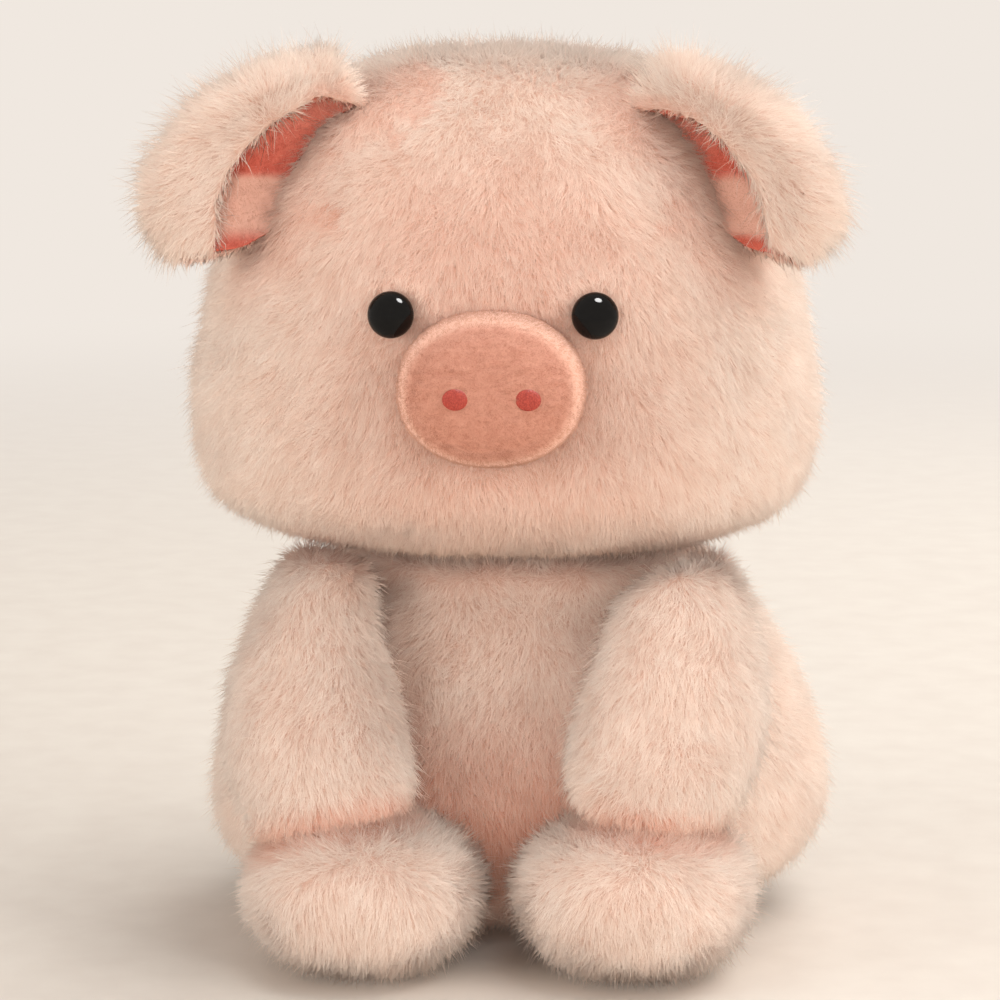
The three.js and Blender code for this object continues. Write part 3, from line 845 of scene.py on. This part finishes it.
def eyes():
    """Domed buttons, each on its shank, in rings from its end to the top of the dome."""
    for side in SIDES:
        rim, axis, radius, dome, band = eye_axis(side)
        across = unit(np.cross(axis, UP))
        upward = np.cross(axis, across)
        shank, edge = EYE.shank * radius, EYE.edge * radius
        profile = [(shank, -band - EYE.shank_length), (shank, -band), (edge, -band)]
        profile += [(radius, -band + EYE.bevel), (radius, 0)]
        for k in range(1, EYE_STEPS.up + 1):
            angle = math.pi / 2 * k / EYE_STEPS.up
            profile.append((radius * math.cos(angle), dome * math.sin(angle)))
        points, faces = lathe(profile, EYE_STEPS.around)
        spots = rim + points[:, :1] * across + points[:, 1:2] * upward + points[:, 2:] * axis
        name = f"{side}_eye_button"
        piece(name, spots, faces, "head", "black_plastic", EYE_PLASTIC, (f"{side}_eye",))
        BUTTONS[side] = Skin(spots, triangles(faces))


def triangles(faces):
    """The faces, with each four-sided one cut in two."""
    cut = [(face[0], face[1], face[2]) for face in faces]
    cut += [(face[0], face[2], face[3]) for face in faces if len(face) == 4]
    return np.array(cut)


def lathe(profile, around):
    """A closed round body from (radius, height) pairs, lowest first."""
    angles = 2 * math.pi * np.arange(around) / around
    circle = np.stack([np.cos(angles), np.sin(angles), 0 * angles], 1)
    rings = [radius * circle + UP * height for radius, height in profile[:-1]]
    points = np.concatenate([*rings, [UP * profile[0][1], UP * profile[-1][1]]])
    bottom, top = len(points) - 2, len(points) - 1
    last = (len(rings) - 1) * around
    faces = []
    for j in range(around):
        k = (j + 1) % around
        faces += [(bottom, k, j), (last + j, last + k, top)]
        for here in range(0, last, around):
            faces.append((here + j, here + k, here + around + k, here + around + j))
    return points, faces


SNOUT_FORM = Values(corner=2.15, end=3.0, behind=0.3, front=(0.3, 0.7))
# The seam round the snout's front, as a share of its half size, and where it is pale past the seam,
# as painted sheen
SNOUT_SEAM = Values(at=0.82, width=0.05, depth=0.35 * MM, pale=0.97)
SNOUT_CREASES = Values(depth=0.35 * MM, apart=3.6 * MM, within=0.8, bend=6)
# The seed and length of its lumps, of how its creases bend and of how their depth differs
SNOUT_LUMPS = {"form": (7, 14 * MM), "bends": (21, 18 * MM), "depths": (22, 9 * MM)}
LUMP_DEPTH = 0.25 * MM
# Which way the snout's pile lies, how far off a nostril it begins and is at its full length, and
# the least share of that length that a strand there has
SNOUT_LIE = (0.6, 0, -0.5)
OFF_NOSTRILS = (2.6 * MM, 3.4 * MM)
LEAST_LENGTH = 0.1


def snout_surface():
    """The velour cover: an oval drum with a round edge and a slightly crowned front."""
    low, high = corners_of("snout_cover")
    middle, half = (low + high) / 2, (high - low) / 2
    rays, faces = unit_sphere(6)
    corner, end = SNOUT_FORM.corner, SNOUT_FORM.end
    across = (np.abs(rays[:, 0]) ** corner + np.abs(rays[:, 2]) ** corner) ** (1 / corner)
    reach = (across**end + np.abs(rays[:, 1]) ** end) ** (-1 / end)
    shape = rays * reach[:, None] * (half[0], high[1] - low[1], half[2])
    points = np.array([middle[0], high[1], middle[2]]) + shape
    behind = points[:, 1] > high[1]
    points[behind, 1] = high[1] + (points[behind, 1] - high[1]) * SNOUT_FORM.behind
    off = across * reach
    front = smooth_step(*SNOUT_FORM.front, -rays[:, 1] * reach)
    seam = np.exp(-(((off - SNOUT_SEAM.at) / SNOUT_SEAM.width) ** 2)) * SNOUT_SEAM.depth
    form, bends, depths = (lumps(points, *SNOUT_LUMPS[key]) for key in ("form", "bends", "depths"))
    waves = 2 * math.pi * points[:, 2] / SNOUT_CREASES.apart + SNOUT_CREASES.bend * bends
    creases = np.sin(waves) * depths * SNOUT_CREASES.depth * (off < SNOUT_CREASES.within)
    height = LUMP_DEPTH * form + front * (creases - seam)
    # Painted sheen: paler past the seam and on the drum's side, as velour catching light at a slant
    pale = smooth_step(SNOUT_SEAM.at, SNOUT_SEAM.pale, off) + (1 - front)
    return raised(points, faces, height), faces, np.clip(pale, 0, 1)


def snout():
    points, faces, pale = snout_surface()
    replaced = ("snout_cover", "snout_filling")
    made = piece("snout_velour", points, faces, "head", "velour", SNOUT_VELOUR, replaced, fill=0.9)
    # The painted sheen, for the velour's colour
    paint(made.data, "blush", pale)
    rng = draws("snout")
    form = Skin(points, faces)
    # The snout's pile takes the same painted sheen, here named warm
    found = scatter(rng, form, VELOUR_PILE.per_mm2, (pale,))
    shown = SKIN["head"].gaps(found[0], NEAR) > 0
    roots, normals, warm = (values[shown] for values in found)
    comb = unit((roots - middle_of("snout_cover")) * (1, 0, 1)) + SNOUT_LIE
    share = np.ones(len(roots))
    for side in SIDES:
        off = np.linalg.norm(roots - middle_of(f"{side}_nostril"), axis=1)
        share *= smooth_step(*OFF_NOSTRILS, off)
    coat = grown(rng, roots, normals, comb, VELOUR_PILE, share, warm)
    fur_pieces("snout_pile", only(coat, share > LEAST_LENGTH), "head", SNOUT_PILE, 1)
    return form


STITCHES = Values(threads=11, ridge=0.16 * MM, proud=0.1 * MM)


def nostrils():
    """Satin stitch: an oval pad of parallel threads that pull in at both ends."""
    for side in SIDES:
        low, high = corners_of(f"{side}_nostril")
        rays, faces = unit_sphere(5)
        points = (low + high) / 2 + rays * (high - low) / 2
        ridge = np.abs(np.sin(math.pi * STITCHES.threads * (rays[:, 0] / 2 + 0.5)))
        fade = np.clip(1 - np.abs(rays[:, 0]) ** 3, 0, 1)
        points[:, 1] -= STITCHES.ridge * ridge * fade + STITCHES.proud
        name = f"{side}_nostril_stitches"
        piece(name, points, faces, "head", "stitching", THREAD, (f"{side}_nostril",))


# Long pile on the stuffed forms. It is combed down and outward, and turns at the crown. A limb's
# is combed along it, and outward and down over its end.
HEAD_MIDDLE = middle_of("head_front_panel", "head_back_panel")
COMB = Values(width=90 * MM, head=0.9, body=0.5, crown=1.2, turn=(190 * MM, 230 * MM))
LIMB_COMB = Values(outward=0.3, end=0.8, down=0.35)
HINGES = {"arm": "raise", "leg": "droop"}


def head_comb(roots, normals):
    """Down each panel from the seam over the crown, and outward from the middle of the face."""
    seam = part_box("head_front_panel")[1][1]
    crown = smooth_step(*COMB.turn, roots[:, 2])
    comb = np.zeros_like(roots)
    comb[:, 0] = (roots[:, 0] - HEAD_MIDDLE[0]) / COMB.width * COMB.head
    comb[:, 1] = crown * np.where(roots[:, 1] > seam, COMB.crown, -COMB.crown)
    comb[:, 2] = crown - 1
    return comb


def body_comb(roots, normals):
    comb = np.zeros_like(roots)
    middle = middle_of("body_front_panel")
    comb[:, 0] = (roots[:, 0] - middle[0]) / COMB.width * COMB.body
    comb[:, 2] = -1
    return comb


def limb_comb(side, limb):
    """Along the limb to its end, and round over the end."""
    points = surface_of(f"{side}_{limb}_cover")[0]
    hinge = f"{side}_{limb}_{HINGES[limb]}"
    joint = next(joint for joint in frame["joints"] if joint["name"] == hinge)
    axis = unit(points.mean(axis=0) - joint["pos_m"])

    def comb(roots, normals):
        out = roots - points.mean(axis=0)
        out = unit(out - (out @ axis)[:, None] * axis)
        end = np.clip((normals @ axis)[:, None], 0, 1)
        over = out * LIMB_COMB.outward - UP * LIMB_COMB.end
        return axis * (1 - end) + over * end - UP * LIMB_COMB.down

    return comb


def trim(share, points, skin, spec):
    gap = skin.gaps(points, spec.reach * 1.5)
    return share * at_least(spec.least, smooth_step(0, spec.reach, gap))


# How far behind its rim an eye counts, and where roots start at the snout's and the eyes' edges
EYE_DEPTH = 15 * MM
BARE = Values(snout=0.95, snout_depth=10 * MM, under_rim=0.4 * MM)


def off_eye(side, points):
    """Distance from an eye's axis, whether each point lies at its front, and its radius."""
    rim, axis, radius = eye_axis(side)[:3]
    off = points - rim
    along = off @ axis
    return np.linalg.norm(off - along[:, None] * axis, axis=1), along > -EYE_DEPTH, radius


def face_trim(points, snout_form):
    """Share of the pile's full length round the eyes, the snout and the ears' lining."""
    share = at_least(CHIN.least, smooth_step(*CHIN.heights, points[:, 2]))
    share = trim(share, points, snout_form, SNOUT_TRIM)
    for side in SIDES:
        share = trim(share, points, LININGS[side], EAR_TRIM)
        off, front, radius = off_eye(side, points)
        near = smooth_step(radius, radius + EYE_TRIM.reach, off)
        share = np.where(front, share * at_least(EYE_TRIM.least, near), share)
    return share


def off_the_face(roots):
    """Whether each root is clear of the snout and the eyes."""
    low, high = corners_of("snout_cover")
    off = np.abs(roots - (low + high) / 2) / (high - low) * 2
    clear = off[:, 0] ** 2 + off[:, 2] ** 2 > BARE.snout
    clear |= roots[:, 1] > high[1] + BARE.snout_depth
    for side in SIDES:
        off, front, radius = off_eye(side, roots)
        clear &= ~((off < radius - BARE.under_rim) & front)
    return clear


def painted_shade_and_tint_of(name, points, normals, gaps):
    """How much painted shade, a warmer colour, the pile gets: in the creases, on the forehead and by
    the ears; on the belly partly painted shade and partly its own pinker colour.
    """
    seen = PAINTED_SHADE["crease"].get(name, PAINTED_SHADE["limbs"]) * fading(*CREASE, gaps)
    front = np.clip(-normals[:, 1], 0, 1)
    # The belly: partly its own pinker colour, partly painted shade, most of it low down
    if name == "body":
        aside = np.abs(points[:, 0] - middle_of("body_front_panel")[0])
        belly = BELLY.least + BELLY.low * fading(*BELLY.heights, points[:, 2])
        seen += front * fading(*BELLY.aside, aside) * belly
    # Painted shade on the front of the forehead and next to the ears' linings
    if name == "head":
        aside = fading(*FOREHEAD.aside, np.abs(points[:, 0] - HEAD_MIDDLE[0]))
        seen += PAINTED_SHADE["forehead"] * front * aside * fading(*FOREHEAD.heights, points[:, 2])
        for lining in LININGS.values():
            seen += PAINTED_SHADE["ears"] * fading(*BY_EARS, lining.gaps(points, BY_EARS[1]))
    return np.clip(seen, 0, 1)


def coat_on(name, comb, snout_form):
    skin = SKIN[name]
    rng = draws(name)
    gaps = [SKIN[other].gaps(skin.points, NEAR) for other in NEIGHBOURS[name]]
    blush = painted_shade_and_tint_of(name, skin.points, skin.normals, np.min(gaps, axis=0))
    lengths = np.ones(len(skin.points))
    if name == "head":
        lengths = face_trim(skin.points, snout_form)
    fields = (blush, lengths, *gaps)
    for title, kind, rings in COATS:
        found = scatter(rng, skin, kind.per_mm2, fields)
        if name == "head":
            clear = off_the_face(found[0])
            found = [values[clear] for values in found]
        roots, normals, warm, share, *near = found
        coat = grown(rng, roots, normals, comb(roots, normals), kind, share, warm)
        coat.update({f"near_{other}": gap for other, gap in zip(NEIGHBOURS[name], near)})
        for other in NEIGHBOURS[name]:
            coat = kept_clear(coat, SKIN[other], coat[f"near_{other}"])
        if name == "head":
            for form in BUTTONS.values():
                coat = kept_clear(coat, form)
        fur_pieces(f"{name}_{title}", laid_on_ground(coat), name, PILE, rings)


# Ears and tail. How far apart their even faces' corners are, and how often they are smoothed
MESHES = {"lining": (0.7 * MM, 9), "outer": (1.1 * MM, 20), "tail": (0.9 * MM, 6)}
EAR_REACH = 20 * MM
# How deep an ear's cloth lies, past the one distance off its lining and more up to the other
EAR_CLOTH = Values(depth=2.4 * MM, off=(1.6 * MM, 5 * MM))
# An ear's edge is sewn to the head where it is near, up to free, and so is its inner end
EAR_SEAM = Values(gap=0.6 * MM, sewn=6 * MM, free=12 * MM, end=9 * MM)
# How far in from its lowest edge an ear is rounded, and how far it is drawn up next to the head
EAR_ROUND = Values(
    reach=11 * MM, curve=0.96, ways=(0.9, 0.5, 0), rise=4 * MM, near=(5 * MM, 12 * MM)
)
# An ear's pile is denser, starts off its open lining, and is short and warm next to it
EAR_FUR = Values(
    denser=1.15, off=0.9 * MM, least=0.45, short=(2 * MM, 6 * MM), blush=0.5, warm=(2 * MM, 5 * MM)
)
EAR_FRINGE = {"down": 1.0, "fur": 1.3}
EAR_COMB = Values(inside=(0.8, 1, 1), down=0.3)
# How far under the lobe the lining's own pile ends
UNDER_LOBE = 0.5 * MM
# At which share of its height each ear's lining turns from pale, painted light on its bulge low in
# the fold, to deep coral in the fold's shade, how softly, and where its lowest edge turns pale,
# above a deep painted shadow line. The lumps' seed and length make the turn uneven.
EAR_TURN = {"left": 0.42, "right": 0.4}
EAR_PAINTED_LIGHT = Values(soft=0.04, edge=(0.08, 0.16), top=0.4, lumps=(33, 12 * MM))
TAIL = Values(depth=1.8 * MM, denser=1.6, length=0.42, blush=0.15, lie=(0.4, 0.3, 0.6))


def sewn_on(points, skin):
    """Draws the edge of an ear that faces the head, and its inner end, onto the head's cloth."""
    moved = points.copy()
    inner = np.abs(points[:, 0]).min()
    end = fading(inner, inner + EAR_SEAM.end, np.abs(points[:, 0]))
    for i, gap in enumerate(skin.gaps(points, EAR_REACH)):
        if gap < EAR_SEAM.free or (gap < EAR_REACH and end[i] > 0):
            spot = np.array(skin.tree.find_nearest(points[i].tolist())[0])
            share = smooth_step(EAR_SEAM.sewn, EAR_SEAM.free, gap) * (1 - end[i])
            kept = (EAR_SEAM.gap + (gap - EAR_SEAM.gap) * share) / max(gap, EAR_SEAM.gap)
            moved[i] = spot + (points[i] - spot) * kept
    return moved


def round_below(points):
    """Draws an ear's lowest edge in to a round end."""
    low = points[:, 2].min()
    depth = np.clip((low + EAR_ROUND.reach - points[:, 2]) / EAR_ROUND.reach, 0, 1)
    middle = points[points[:, 2] < low + EAR_ROUND.reach].mean(axis=0)
    share = (1 - np.sqrt(1 - depth**2 * EAR_ROUND.curve))[:, None] * EAR_ROUND.ways
    return points + (middle - points) * share


def drawn_up(points, skin):
    """Draws an ear's lowest edge up where it lies on the head, so that the fold hangs past it."""
    low = points[:, 2].min()
    gap = skin.gaps(points, EAR_REACH)
    share = fading(low, low + 3 * EAR_ROUND.rise, points[:, 2])
    share = share * fading(*EAR_ROUND.near, gap)
    return points + share[:, None] * UP * EAR_ROUND.rise


def ear_surface(side, layer):
    points, faces = remeshed_surface(f"{side}_ear_{layer}", *MESHES[layer])
    points = drawn_up(round_below(points), SKIN["head"])
    return sewn_on(points, SKIN["head"]), faces


def ears():
    for side in SIDES:
        body = f"{side}_ear"
        lining = Skin(*ear_surface(side, "lining"))
        points, faces = ear_surface(side, "outer")
        gap = lining.gaps(points, EAR_REACH)
        inward = EAR_CLOTH.depth * smooth_step(*EAR_CLOTH.off, gap)
        points = raised(points, faces, -inward)
        piece(f"{body}_lobe", points, faces, body, "fur", BACKING, (f"{body}_outer",), fill=0.3)
        shape = (lining.points, lining.faces)
        velour = piece(f"{body}_velour", *shape, body, "lining", LINING_VELOUR, (f"{body}_lining",))
        # The lining's painted light and shade, for its colour
        paint(velour.data, "blush", painted_lining_light(side, lining.points))
        LININGS[side] = lining
        lobe = Skin(points, faces)
        ear_fur(side, lobe, lining)
        lining_fur(side, lining, lobe)


def painted_lining_light(side, points):
    """Painted light: 1 where the lining is pale, on its bulge low in the fold that catches light. It
    is deep above that, in the fold's shade, and at its lowest edge, as a painted shadow line; it
    pales again towards its top.
    """
    low, high = (corner[2] for corner in corners_of(f"{side}_ear_lining"))
    soft, turn = EAR_PAINTED_LIGHT.soft, EAR_TURN[side]
    level = (points[:, 2] - low) / (high - low) + soft * lumps(points, *EAR_PAINTED_LIGHT.lumps)
    pale = smooth_step(*EAR_PAINTED_LIGHT.edge, level) * fading(turn - soft, turn + soft, level)
    return np.clip(pale + EAR_PAINTED_LIGHT.top * smooth_step(turn, 1, level), 0, 1)


def open_lining(lining, lobe):
    """A lookup of the lining's points that the fold doesn't cover."""
    forward = Vector((0, -1, 0))
    lookup = KDTree(len(lining.points))
    for i, point in enumerate(lining.points.tolist()):
        if lobe.tree.ray_cast(Vector(point) + forward * MM, forward)[0] is None:
            lookup.insert(point, i)
    lookup.balance()
    return lookup


def ear_fur(side, lobe, lining):
    rng = draws(f"{side}_ear")
    base = middle_of(f"{side}_ear_lining") * EAR_COMB.inside
    lookup = open_lining(lining, lobe)
    opening = np.array([lookup.find(point)[2] for point in lobe.points.tolist()])
    fields = (lining.gaps(lobe.points, EAR_REACH), opening)
    for title, kind, rings in COATS:
        found = scatter(rng, lobe, kind.per_mm2 * EAR_FUR.denser, fields)
        keep = found[2] > EAR_FUR.off
        roots, normals, _, off = (values[keep] for values in found)
        comb = unit(roots - base) - UP * EAR_COMB.down
        share = at_least(EAR_FUR.least, smooth_step(*EAR_FUR.short, off)) * EAR_FRINGE[title]
        blush = EAR_FUR.blush * fading(*EAR_FUR.warm, off)
        coat = kept_clear(grown(rng, roots, normals, comb, kind, share, blush), SKIN["head"])
        fur_pieces(f"{side}_ear_{title}", coat, f"{side}_ear", PILE, rings)


def lining_fur(side, lining, lobe):
    rng = draws(f"{side}_lining")
    roots, normals = scatter(rng, lining, VELOUR_PILE.per_mm2)
    keep = lobe.gaps(roots + normals * MM, NEAR) > UNDER_LOBE
    roots, normals = roots[keep], normals[keep]
    comb, ones = np.tile(-UP, (len(roots), 1)), np.ones(len(roots))
    # The lining's nap takes the same painted light
    coat = grown(rng, roots, normals, comb, VELOUR_PILE, ones, painted_lining_light(side, roots))
    fur_pieces(f"{side}_ear_nap", coat, f"{side}_ear", LINING_PILE, 1)


def tail():
    points, faces = remeshed_surface("tail", *MESHES["tail"])
    skin = Skin(raised(points, faces, np.full(len(points), -TAIL.depth)), faces)
    piece("tail_cloth", skin.points, faces, "tail", "fur", BACKING, ("tail",), fill=0.8)
    rng = draws("tail")
    roots, normals = scatter(rng, skin, UNDERCOAT.per_mm2 * TAIL.denser)
    comb = np.tile(np.array(TAIL.lie), (len(roots), 1))
    share, blush = np.full(len(roots), TAIL.length), np.full(len(roots), TAIL.blush)
    coat = kept_clear(grown(rng, roots, normals, comb, UNDERCOAT, share, blush), SKIN["body"])
    fur_pieces("tail_fur", coat, "tail", PILE, 1)


# Stage
def look_from(place, aim):
    return (Vector(aim) - Vector(place)).to_track_quat("-Z", "Y").to_euler()


def camera():
    azimuth, elevation = math.radians(CAMERA.azimuth), math.radians(CAMERA.elevation)
    aim = np.array(CAMERA.aim)
    away = (math.sin(azimuth) * math.cos(elevation), -math.cos(azimuth) * math.cos(elevation))
    place = aim + CAMERA.distance * np.array([*away, math.sin(elevation)])
    data = bpy.data.cameras.new("camera")
    data.lens = CAMERA.lens
    data.sensor_width = CAMERA.sensor
    data.clip_start, data.clip_end = CAMERA.clip
    made = linked("camera", data)
    made.location = place
    made.rotation_euler = look_from(place, aim)
    bpy.context.scene.camera = made


# Each lamp's place, size and watts. Glint is seen in gloss alone, and the others aren't seen there.
LAMPS = {
    "key": ((1.4, -0.75, 0.5), 1.2, 16.0),
    "fill": ((-1.4, -0.85, 0.4), 1.2, 15.0),
    "front": ((0.0, -1.7, 0.08), 1.5, 10.5),
    "top": ((0.45, 0.1, 1.5), 1.0, 12.0),
    "rim": ((0.4, 1.1, 0.9), 0.9, 7.0),
    "glint": ((0.43, -0.52, 1.3), 0.5, 30.0),
}
LAMP_COLOUR = (1.0, 0.99, 0.98)
LAMP_AIM = (0, 0, 110 * MM)


def lamps():
    for name, (place, size, watts) in LAMPS.items():
        data = bpy.data.lights.new(name, "AREA")
        data.shape = "DISK"
        data.size, data.energy, data.color = size, watts, LAMP_COLOUR
        made = linked(name, data)
        made.visible_glossy = name == "glint"
        made.visible_diffuse = name != "glint"
        made.location = place
        made.rotation_euler = look_from(place, LAMP_AIM)


WORLD_LIGHT = {"Color": (1.0, 0.98, 0.96, 1), "Strength": 0.45}
BACKGROUND = {"Color": srgb(240, 232, 224), "Strength": 1.0}
FLOOR_SIZE = 8.0
FLOOR_FADE = {"From Min": 0.3, "From Max": 1.6}


def seen_directly(n):
    """1 for the rays that see a background as it is: from the camera, in gloss and through glass."""
    path = n.add("LightPath").outputs
    either = n.math("MAXIMUM", path["Is Camera Ray"], path["Is Glossy Ray"])
    return n.math("MAXIMUM", either, path["Is Transmission Ray"])


def world():
    made = bpy.data.worlds.new("world")
    n = Nodes(made)
    light = n.add("Background", WORLD_LIGHT).outputs[0]
    seen = n.add("Background", BACKGROUND).outputs[0]
    both = n.add("MixShader", {0: seen_directly(n), 1: light, 2: seen})
    n.add("OutputWorld", {"Surface": both.outputs[0]})
    bpy.context.scene.world = made


def floor():
    """A warm desk top that fades into the background."""
    n = material_nodes("floor")
    colour = n.ramp(n.noise(60.0), (0.3, (210, 200, 189)), (0.7, (215, 206, 195)))
    lit = n.add("BsdfPrincipled", {"Base Color": colour, "Roughness": 0.6}).outputs["BSDF"]
    far = n.add("Emission", BACKGROUND).outputs["Emission"]
    away = n.add("VectorMath", {0: n.place()}, operation="LENGTH").outputs["Value"]
    fade = n.add("MapRange", {"Value": away, **FLOOR_FADE}, interpolation_type="SMOOTHSTEP")
    share = n.math("MULTIPLY", fade.outputs["Result"], seen_directly(n))
    both = n.add("MixShader", {0: share, 1: lit, 2: far})
    n.add("OutputMaterial", {"Surface": both.outputs["Shader"]})
    mesh = bpy.data.meshes.new("floor")
    corners = [(x * FLOOR_SIZE, y * FLOOR_SIZE, 0) for x, y in ((-1, -1), (1, -1), (1, 1), (-1, 1))]
    mesh.from_pydata(corners, [], [(0, 1, 2, 3)])
    mesh.materials.append(n.owner)
    made = linked("floor", mesh)


camera()
lamps()
world()
floor()
# What the pile keeps clear of: the covers, the eyes and the ears' linings
SKIN = skins()
BUTTONS = {}
LININGS = {}
inner_pieces()
eyes()
snout_form = snout()
nostrils()
ears()
coat_on("head", head_comb, snout_form)
coat_on("body", body_comb, snout_form)
for side in SIDES:
    for limb in ("arm", "leg"):
        coat_on(f"{side}_{limb}", limb_comb(side, limb), snout_form)
tail()

bpy.context.scene.view_settings.view_transform = "Standard"
